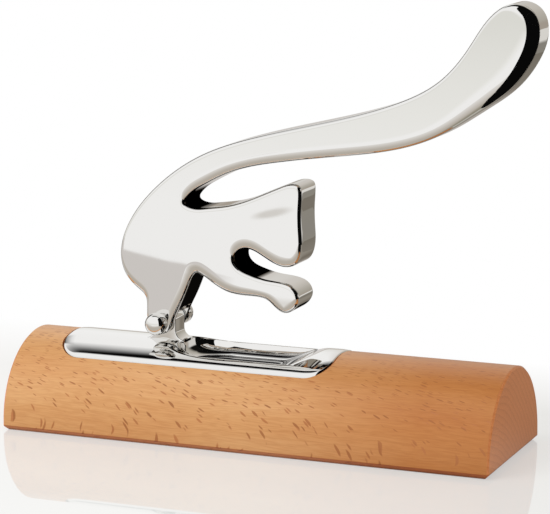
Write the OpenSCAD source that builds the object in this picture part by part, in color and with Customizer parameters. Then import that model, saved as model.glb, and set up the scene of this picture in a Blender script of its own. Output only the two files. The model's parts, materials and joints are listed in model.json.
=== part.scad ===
// Squirrel nutcracker. A half-round beech base carries a chromed tray with a nut trough and a
// hinge lug. The cast squirrel is the lever: its forked foot straddles the lug, its belly and paw
// press on the nut, and its long tail is the handle.
// Origin: centre of the base's underside. +X runs along the base to the tail tip, -Y is the front.

/* [Base] */
// Length of the wooden base
base_len = 225; // [215:1:260]
// Width of the wooden base, which is twice the radius of its round top
base_wid = 73.3; // [70:0.1:80]
// Height of the upright strip under the round top
base_side = 3.3; // [2.8:0.1:6]
// Chamfer along the bottom edges
base_chamfer = 2; // [0.5:0.1:2.4]
// Chamfer round the arris of each end face
base_arris = 0.8; // [0.3:0.1:1.5]

/* [Tray] */
// Length of the tray
tray_len = 128.6; // [126:0.1:140]
// Width of the tray
tray_wid = 44; // [43:0.5:50]
// Radius of the tray's corners in plan
tray_corner = 11; // [8:0.5:16]
// From the base's hinge end to the tray
tray_inset = 18.9; // [16:0.1:22]
// Height of the tray's crown above the wood
tray_proud = 0.5; // [0.2:0.1:1.2]
// Radius of the tray's arched top, flatter than the wood so that its long edges stand proud
tray_arch = 46; // [43:0.5:60]
// Thickness of the tray's plate
tray_thick = 3; // [2:0.1:4]
// Gap all round between the tray and its pocket in the wood
tray_gap = 0.3; // [0.2:0.05:0.6]
// Gap under the tray's arched plate
seat_gap = 0.1; // [0.05:0.05:0.3]

/* [Nut trough] */
// Width of the trough between its walls, at the height of the crown
trough_wid = 36; // [33:0.5:37]
// Depth of the level floor under the crown
trough_depth = 9.5; // [8:0.1:10.5]
// Length of the level floor, from the centre of the round end to the foot of the ramp
trough_run = 27.5; // [22:0.5:30]
// From the hinge axis to the round end of the trough
trough_start = 6.5; // [6.2:0.1:9]
// Fillet between floor and walls
trough_fillet = 7; // [4:0.1:7.5]
// Lean of the walls
trough_draft = 14; // [6:1:18]
// Slope of the ramp at the open end
trough_ramp = 24; // [22:1:30]
// Wall of the bowl that hangs under the plate
bowl_wall = 2.4; // [1.6:0.1:3]
// Gap between the bowl and its pocket in the wood
bowl_gap = 0.6; // [0.3:0.1:1]

/* [Hinge] */
// From the base's hinge end to the hinge axis
hinge_from_end = 65; // [62:0.5:68]
// Height of the hinge axis above the crown of the wood
hinge_rise = 8.75; // [8.3:0.05:11]
// Radius of the lug's round top
lug_r = 5.2; // [4.6:0.1:5.6]
// Thickness of the lug
lug_t = 10; // [8:0.1:11]
// Fillet where the lug runs out into the tray
lug_fillet = 4; // [2:0.1:4.2]
// Diameter of the hinge pin
pin_d = 5; // [4:0.1:5.2]
// Wall of the bronze bush in the lug
bush_wall = 1.1; // [0.6:0.1:1.2]
// Radial clearance of the pin in the bush
pin_play = 0.05; // [0.02:0.01:0.09]
// Radial clearance of the fixed round fits
fixed_play = 0.02; // [0.01:0.01:0.05]
// Thickness of each hinge washer
hinge_washer_t = 0.5; // [0.3:0.1:0.8]
// Diameter of the hinge washers
hinge_washer_d = 9.8; // [8:0.1:10]
// Sideways gap between a hinge washer and the lever's cheek
side_play = 0.3; // [0.3:0.05:0.5]
// Radius of the ball caps on the pin
ball_r = 5; // [4.2:0.1:5.6]
// From the lever's face to the centre of a ball cap
ball_out = 4; // [3:0.1:4]

/* [Squirrel lever] */
// From the hinge axis to the tip of the tail
lever_reach = 169.5; // [165:0.5:178]
// Thickness of the casting
lever_t = 20; // [18:0.5:22]
// Radius of the cheeks round the pin
foot_r = 5.8; // [5.5:0.1:6.4]
// How far the cheeks' round end sits behind the hinge axis
foot_back = 0.9; // [0:0.1:1.2]
// Rounding of the casting's edges
edge_r = 1.6; // [0.6:0.1:1.8]
// Depth of the fork above the hinge axis
fork_depth = 6.6; // [6.2:0.1:7.5]

/* [Tray screws] */
// Diameter of the screws that pull the tray down from below
screw_d = 4; // [3:0.5:5]
// Length of the screws under the head
screw_len = 22; // [20:0.5:22]
// Diameter of the screw heads
screw_head_d = 7.6; // [7:0.1:8.6]
// Height of the screw heads
screw_head_h = 2.4; // [1.9:0.1:3]
// Width across flats of the hexagon socket
screw_hex = 2.5; // [2:0.5:3]
// Depth of the hexagon socket
screw_hex_deep = 1.4; // [1:0.1:1.5]
// Diameter of the washers
screw_washer_d = 9; // [8.8:0.1:9.6]
// Thickness of the washers
screw_washer_t = 0.8; // [0.5:0.1:1]
// Diameter of the counterbores in the underside
counterbore_d = 10.2; // [10:0.1:12]
// Depth of the counterbores
counterbore = 14; // [12:0.5:14]
// Height of the screw bosses' lower end above the table
boss_foot = 28; // [27:0.5:29]
// Wall of the screw bosses round the thread
boss_wall = 2.6; // [2:0.1:3]
// From the tray's hinge end to the first screw
screw_end_inset = 14; // [12:0.5:18]
// From the hinge axis back to the middle screw
screw_hinge_back = 10; // [9.5:0.5:12]
// From the tray's ramp end to the last screw
screw_ramp_inset = 8; // [7.5:0.5:9]

/* [Felt pads] */
// Diameter of the felt pads
pad_d = 16; // [10:0.5:18]
// Thickness of the felt pads, whose sockets are as deep
pad_t = 2; // [1:0.1:3]
// From the base's ends to the middle of the pads
pad_inset_x = 20; // [14:0.5:24]
// From the base's long sides to the middle of the pads
pad_inset_y = 13; // [12.5:0.5:16]
// Radial gap between a pad and its socket
pad_gap = 0.15; // [0.05:0.05:0.4]

/* [Hidden] */
$fn = 96;

far = 400;                                   // longer than any piece, for cuts that run right through
over = 1;                                    // how far a cut runs past the face it opens
lap = 0.3;                                   // how far two parts of one solid run into each other
front = -1;                                  // the front and rear sides of the object
rear = 1;

half_len = base_len / 2;
round_r = base_wid / 2;
wood_top = base_side + round_r;
crown = wood_top + tray_proud;
arch_axis = crown - tray_arch;
tray_x0 = tray_inset - half_len;
tray_x1 = tray_x0 + tray_len;
hinge_x = hinge_from_end - half_len;
hinge_z = wood_top + hinge_rise;

bush_r = pin_d / 2 + pin_play + bush_wall;
washer_bore = 0.1;                           // radial clearance of the pin in the hinge washers
fork_half = lug_t / 2 + hinge_washer_t + side_play;
cheek_face = lever_t / 2;
pin_half = cheek_face + ball_out;
cap_bottom = 0.2;                            // from the pin's end to the bottom of the hole in a ball cap

rim_cut = 2;                                 // how far the trough is cut above the crown
trough_floor = crown - trough_depth;
round_end_x = hinge_x + trough_start + trough_wid / 2;
ramp_x = round_end_x + trough_run;
trough_reach = trough_run + 30;              // past the end of the ramp at every slope
fillet_rise = 1 - sin(trough_draft);         // share of the fillet's radius that it rises
floor_half = trough_wid / 2 - trough_fillet * cos(trough_draft)
           - (trough_depth - trough_fillet * fillet_rise) * tan(trough_draft);

boss_r = screw_d / 2 + boss_wall;
boss_gap = 0.4;                              // gap round and under the bosses in the wood
thread_play = 0.05;                          // radial clearance of the screws in the bosses
way_play = 0.4;                              // radial clearance of the screws in the wood
thread_deep = 8;                             // depth of the threads in the bosses
screw_tip = 0.6;                             // chamfer on the screws' tips and heads
seat_z = counterbore - screw_washer_t;
screw_x = [tray_x0 + screw_end_inset, hinge_x - screw_hinge_back, tray_x1 - screw_ramp_inset];
pad_x = half_len - pad_inset_x;
pad_y = round_r - pad_inset_y;

// Outline of the squirrel, seen from the front, anticlockwise from the foot. Each point is
// [right, up] in millimetres.
FOOT = [[6.8, 2.6], [9.9, 9], [13.2, 16.4], [15.4, 21.2], [17, 22.8], [19.4, 22.2]];
BELLY = [[24.5, 19.1], [30.8, 15.8], [38, 14.4], [46, 14.2]];
PAW = [[50.6, 13.2], [55, 9.7], [59.2, 8], [63.4, 10.1], [65.7, 14.4], [64, 18.8]];
ARM = [[58.6, 21.3], [50, 22.3], [42, 24.4], [37, 27], [35.4, 30.4], [37.4, 34], [41.8, 35]];
CHIN = [[47, 33.1], [52.4, 30.1], [58.6, 28.2], [64, 29.8], [66.5, 34.6]];
HEAD = [[66.7, 44], [66.5, 54], [66.8, 60.4], [66, 63.8], [62.8, 64.8], [57.4, 63.4]];
BACK = [[46, 58.4], [33, 53.8], [22, 52], [15, 52], [12.2, 53.7], [13.6, 56.5]];
UNDER_TAIL = [[20.6, 61.7], [33, 67.9], [54, 73.3], [84, 77.7], [111, 82.4], [128, 88.7], [144, 98.6]];
TAIL_TIP = [[157.6, 108.7], [166.4, 120.4], [170, 132], [167, 141.6], [159.6, 144.7], [150.8, 140.4]];
TAIL_TOP = [[141, 127], [128, 111.8], [108, 101.2], [76, 91.9], [44, 83.8], [19.7, 74.9], [-1.7, 59.9]];
HAUNCH = [[-14.5, 44.1], [-19, 29.5], [-17, 20.4], [-11, 14], [-7.4, 10.8], [-6.5, 5.4]];
outline_zero = [-0.5, 0.3];                  // from the hinge axis to the zero of these points
outline_reach = 169.5;                       // reach of the tail tip as drawn
rim_lap = 0.4;                               // how far the rim runs in under the plain core
steps = 3;                                   // points along the curve for each point above
turns = 40;                                  // passes that settle the slopes of the curve

// The round end of the foot, then the rest of the outline scaled to the lever's reach, all from
// the hinge axis.
function knots() = concat(
    [for (a = [-172, -140, -108, -76, -44, -16]) [foot_r * cos(a) - foot_back, foot_r * sin(a)]],
    [for (p = concat(FOOT, BELLY, PAW, ARM, CHIN, HEAD, BACK, UNDER_TAIL, TAIL_TIP, TAIL_TOP, HAUNCH))
        (p + outline_zero) * lever_reach / outline_reach]);

// Slopes of the closed cubic spline through p, settled by n passes over its equations.
function settle(p, h, m, n) = n == 0 ? m :
    let (c = len(p))
    settle(p, h, [for (i = [0 : c - 1])
        let (j = (i + c - 1) % c, k = (i + 1) % c)
        (3 * ((p[i] - p[j]) / (h[j] * h[j]) + (p[k] - p[i]) / (h[i] * h[i]))
            - m[j] / h[j] - m[k] / h[i]) / (2 / h[j] + 2 / h[i])], n - 1);

// A point of the spline between the knots a and b, a stretch h long, at t from 0 to 1.
function between(a, b, ma, mb, h, t) =
    (2 * t * t * t - 3 * t * t + 1) * a + (t * t * t - 2 * t * t + t) * h * ma
    + (3 * t * t - 2 * t * t * t) * b + (t * t * t - t * t) * h * mb;

// The spline through the closed ring of points p.
function smooth(p) =
    let (c = len(p),
         h = [for (i = [0 : c - 1]) norm(p[(i + 1) % c] - p[i])],
         start = [for (i = [0 : c - 1]) (p[(i + 1) % c] - p[(i + c - 1) % c]) / (h[i] + h[(i + c - 1) % c])],
         m = settle(p, h, start, turns))
    [for (i = [0 : c - 1], s = [0 : steps - 1])
        between(p[i], p[(i + 1) % c], m[i], m[(i + 1) % c], h[i], s / steps)];

// The ring of points p moved inwards by d, square to its own direction at each point.
function inset(p, d) = [for (i = [0 : len(p) - 1])
    let (c = len(p), run = p[(i + 1) % c] - p[(i + c - 1) % c])
    p[i] + d * [-run[1], run[0]] / norm(run)];

// ---- 2D shapes ----

// Plan of the tray, grown by g.
module tray_plan(g = 0) {
    cx = [tray_x0 + tray_corner, tray_x1 - tray_corner];
    cy = tray_wid / 2 - tray_corner;
    translate([tray_x0 - g, -cy]) square([tray_len + 2 * g, 2 * cy]);
    translate([cx[0], -cy - tray_corner - g]) square([cx[1] - cx[0], tray_wid + 2 * g]);
    for (x = cx, y = [-cy, cy]) translate([x, y]) circle(r = tray_corner + g);
}

// One half of the trough's section, from its middle outwards and up to the height top.
module trough_half(top) {
    foot = [floor_half + trough_fillet * cos(trough_draft), trough_fillet * fillet_rise];
    rim = foot[0] + (top - foot[1]) * tan(trough_draft);
    polygon([[0, 0], [floor_half, 0], foot, [rim, top], [0, top]]);
    translate([floor_half, trough_fillet]) intersection() {
        circle(r = trough_fillet);
        translate([0, -trough_fillet]) square(trough_fillet);
    }
}

// Side view of the lug about the hinge axis: round top, upright sides, fillets out into the tray.
module lug_side() {
    drop = hinge_z - crown;
    sunk = 2;
    circle(r = lug_r);
    translate([-lug_r, -drop - sunk]) square([2 * lug_r, drop + sunk]);
    difference() {
        translate([-lug_r - lug_fillet, -drop - sunk]) square([2 * (lug_r + lug_fillet), sunk + lug_fillet]);
        for (s = [-1, 1]) translate([s * (lug_r + lug_fillet), lug_fillet - drop]) circle(r = lug_fillet);
    }
}

// ---- 3D building blocks ----

module along_x(len) { rotate([90, 0, 90]) linear_extrude(len) children(); }
module along_y(len) { rotate([90, 0, 0]) linear_extrude(len, center = true) children(); }
module rod_x(r, len = far) { rotate([0, 90, 0]) cylinder(r = r, h = len, center = true); }
module rod_y(r, len = far) { rotate([90, 0, 0]) cylinder(r = r, h = len, center = true); }
module at_hinge(y = 0) { translate([hinge_x, y, hinge_z]) children(); }

// All that lies under the ramp's surface sunk by g.
module under_ramp(g) {
    translate([ramp_x, 0, trough_floor]) rotate([0, -trough_ramp, 0])
        translate([-far / 2, -far / 2, -g - far]) cube(far);
}

// The hollow of the trough, with its round end and its ramp.
module trough() {
    top = trough_depth + rim_cut;
    difference() {
        translate([round_end_x, 0, trough_floor]) {
            rotate_extrude() trough_half(top);
            along_x(trough_reach) {
                trough_half(top);
                mirror([1, 0]) trough_half(top);
            }
        }
        under_ramp(0);
    }
}

// The plain-sided bowl round it, grown by g, up to the crown.
module bowl(g = 0) {
    wall = bowl_wall + g;
    r = trough_wid / 2 + wall;
    difference() {
        translate([round_end_x, 0, trough_floor - wall]) {
            cylinder(r = r, h = trough_depth + wall);
            translate([0, -r, 0]) cube([trough_reach, 2 * r, trough_depth + wall]);
        }
        under_ramp(wall);
    }
}

// The half-round upper part of the base, with its arrises taken off.
module base_round() {
    r = round_r - base_arris;
    x = half_len - base_arris;
    intersection() {
        translate([0, 0, base_side]) rotate([0, 90, 0]) rotate_extrude()
            polygon([[0, -half_len], [r, -half_len], [round_r, -x], [round_r, x], [r, half_len], [0, half_len]]);
        translate([-far / 2, -far / 2, base_side - lap]) cube(far);
    }
}

// The upright strip under it, with the chamfer round its foot.
module base_foot() {
    y = round_r - base_arris;
    x = half_len - base_arris;
    intersection() {
        linear_extrude(base_side) polygon([
            [-half_len, -y], [-x, -round_r], [x, -round_r], [half_len, -y],
            [half_len, y], [x, round_r], [-x, round_r], [-half_len, y]]);
        translate([-half_len, 0, 0]) along_x(base_len) foot_section(round_r);
        along_y(base_wid) foot_section(half_len);
    }
}

// Section of the strip, half as wide as w, with both lower corners cut off.
module foot_section(w) {
    polygon([[base_chamfer - w, 0], [w - base_chamfer, 0], [w, base_chamfer], [w, base_side],
             [-w, base_side], [-w, base_chamfer]]);
}

// The holes for one tray screw in the wood, from the underside up.
module screw_way(x) {
    translate([x, 0, -over]) cylinder(d = counterbore_d, h = counterbore + over);
    translate([x, 0, 0]) cylinder(r = screw_d / 2 + way_play, h = wood_top);
    translate([x, 0, boss_foot - boss_gap]) cylinder(r = boss_r + boss_gap, h = wood_top - boss_foot);
}

// A cast plate in the squirrel's outline with rounded edges, about the hinge axis: a plain core
// inside a rounded rim.
module squirrel_plate() {
    ring = smooth(knots());
    c = len(ring);
    bends = [0, 30, 60, 90];
    last = len(bends) - 1;
    back = [for (a = bends) [edge_r * (1 - sin(a)), cheek_face - edge_r * (1 - cos(a))]];
    levels = concat([[edge_r + rim_lap, -cheek_face]], [for (b = back) [b[0], -b[1]]],
                    [for (i = [last : -1 : 0]) back[i]], [[edge_r + rim_lap, cheek_face]]);
    n = len(levels);
    points = [for (v = levels, p = inset(ring, v[0])) [p[0], v[1], p[1]]];
    sides = [for (k = [0 : n - 1], i = [0 : c - 1])
        let (j = (i + 1) % c, l = (k + 1) % n)
        [k * c + i, k * c + j, l * c + j, l * c + i]];
    polyhedron(points, concat([for (f = sides) [f[0], f[1], f[2]]], [for (f = sides) [f[0], f[2], f[3]]]));
    along_y(lever_t) polygon(inset(ring, edge_r + rim_lap / 2));
}

// A ball cap on the pin, on the front or the rear side.
module ball_cap(side) {
    at_hinge() difference() {
        translate([0, side * pin_half, 0]) rotate([90, 0, 0]) sphere(r = ball_r);
        translate([-far / 2, side > 0 ? cheek_face - far : -cheek_face, -far / 2]) cube(far);
        rod_y(pin_d / 2 + fixed_play, 2 * (pin_half + cap_bottom));
    }
}

// A washer beside the lug, on the front or the rear side.
module hinge_washer(side) {
    at_hinge(side * (lug_t + hinge_washer_t) / 2) difference() {
        rod_y(hinge_washer_d / 2, hinge_washer_t);
        rod_y(pin_d / 2 + washer_bore);
    }
}

// A screw from below, with its head in the counterbore.
module tray_screw(x) {
    r = screw_d / 2;
    head = screw_head_d / 2;
    translate([x, 0, seat_z]) difference() {
        rotate_extrude() polygon([
            [0, -screw_head_h], [head - screw_tip, -screw_head_h], [head, screw_tip - screw_head_h],
            [head, 0], [r, 0], [r, screw_len - screw_tip], [r - screw_tip, screw_len], [0, screw_len]]);
        translate([0, 0, -screw_head_h - over])
            cylinder(d = screw_hex / cos(30), h = screw_hex_deep + over, $fn = 6);
    }
}

module tray_washer(x) {
    translate([x, 0, seat_z]) difference() {
        cylinder(d = screw_washer_d, h = screw_washer_t);
        translate([0, 0, -over]) cylinder(r = screw_d / 2 + way_play, h = screw_washer_t + 2 * over);
    }
}

module felt_pad(x, y) {
    translate([x, y, 0]) cylinder(d = pad_d, h = pad_t);
}

// ---- Sub-parts ----

module wood_base() {
    color("burlywood") difference() {
        union() {
            base_round();
            base_foot();
        }
        difference() {
            translate([0, 0, over]) linear_extrude(wood_top) tray_plan(tray_gap);
            translate([0, 0, arch_axis]) rod_x(tray_arch - tray_thick - seat_gap);
        }
        bowl(bowl_gap);
        for (x = screw_x) screw_way(x);
        for (x = [-pad_x, pad_x], y = [-pad_y, pad_y])
            translate([x, y, -over]) cylinder(r = pad_d / 2 + pad_gap, h = pad_t + over);
    }
}

module tray() {
    color("gainsboro") difference() {
        union() {
            intersection() {
                linear_extrude(far) tray_plan();
                translate([0, 0, arch_axis]) difference() {
                    rod_x(tray_arch);
                    rod_x(tray_arch - tray_thick, far + 2 * over);
                }
            }
            intersection() {
                bowl();
                translate([0, 0, arch_axis]) rod_x(tray_arch - tray_thick / 2);
                linear_extrude(far) tray_plan();
            }
            at_hinge() along_y(lug_t) lug_side();
            for (x = screw_x)
                translate([x, 0, boss_foot]) cylinder(r = boss_r, h = crown - tray_thick / 2 - boss_foot);
        }
        trough();
        at_hinge() rod_y(bush_r + fixed_play);
        for (x = screw_x) translate([x, 0, boss_foot - over])
            cylinder(r = screw_d / 2 + thread_play, h = thread_deep + over);
    }
}

module squirrel_lever() {
    color("silver") at_hinge() difference() {
        squirrel_plate();
        translate([-far, -fork_half, fork_depth - far]) cube([2 * far, 2 * fork_half, far]);
        rod_y(pin_d / 2 + fixed_play);
    }
}

module hinge_pin() { color("lightsteelblue") at_hinge() rod_y(pin_d / 2, 2 * pin_half); }

module hinge_bush() {
    color("goldenrod") at_hinge() difference() {
        rod_y(bush_r, lug_t);
        rod_y(pin_d / 2 + pin_play);
    }
}

module front_ball_cap() { color("gainsboro") ball_cap(front); }
module rear_ball_cap() { color("gainsboro") ball_cap(rear); }
module front_hinge_washer() { color("lightsteelblue") hinge_washer(front); }
module rear_hinge_washer() { color("lightsteelblue") hinge_washer(rear); }
module tray_screw_left() { color("lightsteelblue") tray_screw(screw_x[0]); }
module tray_screw_middle() { color("lightsteelblue") tray_screw(screw_x[1]); }
module tray_screw_right() { color("lightsteelblue") tray_screw(screw_x[2]); }
module tray_washer_left() { color("lightsteelblue") tray_washer(screw_x[0]); }
module tray_washer_middle() { color("lightsteelblue") tray_washer(screw_x[1]); }
module tray_washer_right() { color("lightsteelblue") tray_washer(screw_x[2]); }
module felt_pad_front_left() { color("darkolivegreen") felt_pad(-pad_x, front * pad_y); }
module felt_pad_front_right() { color("darkolivegreen") felt_pad(pad_x, front * pad_y); }
module felt_pad_rear_left() { color("darkolivegreen") felt_pad(-pad_x, rear * pad_y); }
module felt_pad_rear_right() { color("darkolivegreen") felt_pad(pad_x, rear * pad_y); }

wood_base();
tray();
squirrel_lever();
hinge_pin();
hinge_bush();
front_ball_cap();
rear_ball_cap();
front_hinge_washer();
rear_hinge_washer();
tray_screw_left();
tray_screw_middle();
tray_screw_right();
tray_washer_left();
tray_washer_middle();
tray_washer_right();
felt_pad_front_left();
felt_pad_front_right();
felt_pad_rear_left();
felt_pad_rear_right();
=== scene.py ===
"""Squirrel nutcracker on a half-round beech base: chromed castings, beech, steel, bronze and felt.

Lengths are written in millimetres and turned to metres where a mesh is made. +X runs along the
base to the tail's tip, -Y is the front, +Z is up, and the base stands on Z = 0.
"""

import json
import math

import bmesh
import bpy
import numpy as np
from mathutils import Matrix, Vector


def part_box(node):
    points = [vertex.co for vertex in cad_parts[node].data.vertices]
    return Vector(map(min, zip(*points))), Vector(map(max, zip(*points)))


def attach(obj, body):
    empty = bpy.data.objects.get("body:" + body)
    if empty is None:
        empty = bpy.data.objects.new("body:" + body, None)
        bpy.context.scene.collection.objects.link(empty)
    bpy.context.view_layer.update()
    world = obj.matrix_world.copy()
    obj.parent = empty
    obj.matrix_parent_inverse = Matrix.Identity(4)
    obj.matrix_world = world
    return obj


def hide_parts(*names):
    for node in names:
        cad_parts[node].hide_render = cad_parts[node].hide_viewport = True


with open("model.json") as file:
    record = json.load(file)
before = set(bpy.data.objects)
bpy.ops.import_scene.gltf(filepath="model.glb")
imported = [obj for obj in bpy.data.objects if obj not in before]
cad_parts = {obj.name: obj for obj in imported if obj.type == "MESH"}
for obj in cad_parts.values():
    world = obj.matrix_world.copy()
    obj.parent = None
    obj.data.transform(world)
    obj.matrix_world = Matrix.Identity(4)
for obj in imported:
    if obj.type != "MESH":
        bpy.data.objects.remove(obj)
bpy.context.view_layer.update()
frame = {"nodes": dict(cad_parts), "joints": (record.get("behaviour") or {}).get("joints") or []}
nodes = frame["nodes"]

MM = 0.001
hinge = np.array(frame["joints"][0]["pos_m"]) / MM


def size_of(node):
    """Lowest and highest corner of a CAD node in millimetres."""
    low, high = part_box(node)
    return np.array(low) / MM, np.array(high) / MM


base_hi = size_of("wood_base")[1]
tray_lo, tray_hi = size_of("tray")
lever_hi = size_of("squirrel_lever")[1]

# ---------------------------------------------------------------- materials


def linear(hexa, alpha=1.0):
    """An sRGB hex colour as the linear values that the shaders take."""
    c = np.array([int(hexa[i : i + 2], 16) for i in (1, 3, 5)]) / 255
    c = np.where(c <= 0.04045, c / 12.92, ((c + 0.055) / 1.055) ** 2.4)
    return (*c, alpha)


def add(tree, kind, links=None, stops=(), **settings):
    """Adds a node. links gives each input a value or the socket that feeds it, and stops gives
    a colour ramp its (place, hex colour) pairs."""
    n = tree.nodes.new("ShaderNode" + kind)
    for name, value in settings.items():
        setattr(n, name, value)
    for key, value in (links or {}).items():
        if isinstance(value, bpy.types.NodeSocket):
            tree.links.new(value, n.inputs[key])
        else:
            n.inputs[key].default_value = value
    points = n.color_ramp.elements if stops else []
    while len(points) < len(stops):
        points.new(0.5)
    for point, (place, colour) in zip(points, stops):
        point.position = place
        point.color = linear(colour)
    return n


def finish_of(name, settings):
    """A new material with a Principled shader that has these settings."""
    m = bpy.data.materials.new(name)
    m.use_nodes = True
    tree = m.node_tree
    tree.nodes.clear()
    shader = add(tree, "BsdfPrincipled", settings)
    out = add(tree, "OutputMaterial", {"Surface": shader.outputs[0]})
    return m, tree, shader, out


def polished_chrome(name="polished chromium plate", notches=()):
    """Bright chromium plate on a hand-polished casting: a hard mirror, whose reflections wander a
    little because the casting's faces aren't truly flat. Each notch is the x and z of its root
    and the two distances, in metres, between which its walls go from a painted dark to bright:
    painted shade that stands in for the dark reflections deep in the notch."""
    plate, painted_notch_shade = linear("#ECEBE9"), linear("#45413C")
    m, t, shader, _ = finish_of(name, {"Base Color": plate, "Metallic": 1.0, "Roughness": 0.05})
    place = add(t, "TexCoord").outputs["Object"]
    if notches:
        # the casting's walls are where its normal leaves the Y axis
        facing = add(t, "SeparateXYZ", {0: add(t, "TexCoord").outputs["Normal"]}).outputs[1]
        facing = add(t, "Math", {0: facing}, operation="ABSOLUTE").outputs[0]
        wall = add(t, "MapRange", {"Value": facing, "From Min": 0.75, "From Max": 0.5}).outputs[0]
        tone = plate
        for root_x, root_z, dark, bright in notches:
            away = add(t, "Mapping", {"Vector": place, "Location": (-root_x, 0.0, -root_z)})
            away = add(
                t, "VectorMath", {0: away.outputs[0], 1: (1.0, 0.0, 1.0)}, operation="MULTIPLY"
            )
            away = add(t, "VectorMath", {0: away.outputs[0]}, operation="LENGTH").outputs["Value"]
            deep = add(t, "MapRange", {"Value": away, "From Min": bright, "From Max": dark})
            deep = add(t, "Math", {0: deep.outputs[0], 1: wall}, operation="MULTIPLY").outputs[0]
            # painted shade: near each notch root the walls turn dark, standing in for the dark
            # reflections there
            tone = add(t, "Mix", {0: deep, 6: tone, 7: painted_notch_shade}, data_type="RGBA").outputs[2]
        # the painted shade darkens the tint of the reflections too
        t.links.new(tone, shader.inputs["Base Color"])
        t.links.new(tone, shader.inputs["Specular Tint"])
    # waves of about 30 mm left by the polishing wheel
    waves = add(t, "TexNoise", {"Vector": place, "Scale": 34.0, "Detail": 1.0})
    bump = add(t, "Bump", {"Height": waves.outputs[0], "Strength": 1.0, "Distance": 0.00005})
    t.links.new(bump.outputs[0], shader.inputs["Normal"])
    # buffing haze, drawn far coarser than its real grit so that it shows at all
    haze = add(t, "TexNoise", {"Vector": place, "Scale": 160.0, "Detail": 3.0})
    rough = add(t, "MapRange", {"Value": haze.outputs[0], "To Min": 0.012, "To Max": 0.035})
    t.links.new(rough.outputs[0], shader.inputs["Roughness"])
    return m


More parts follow.
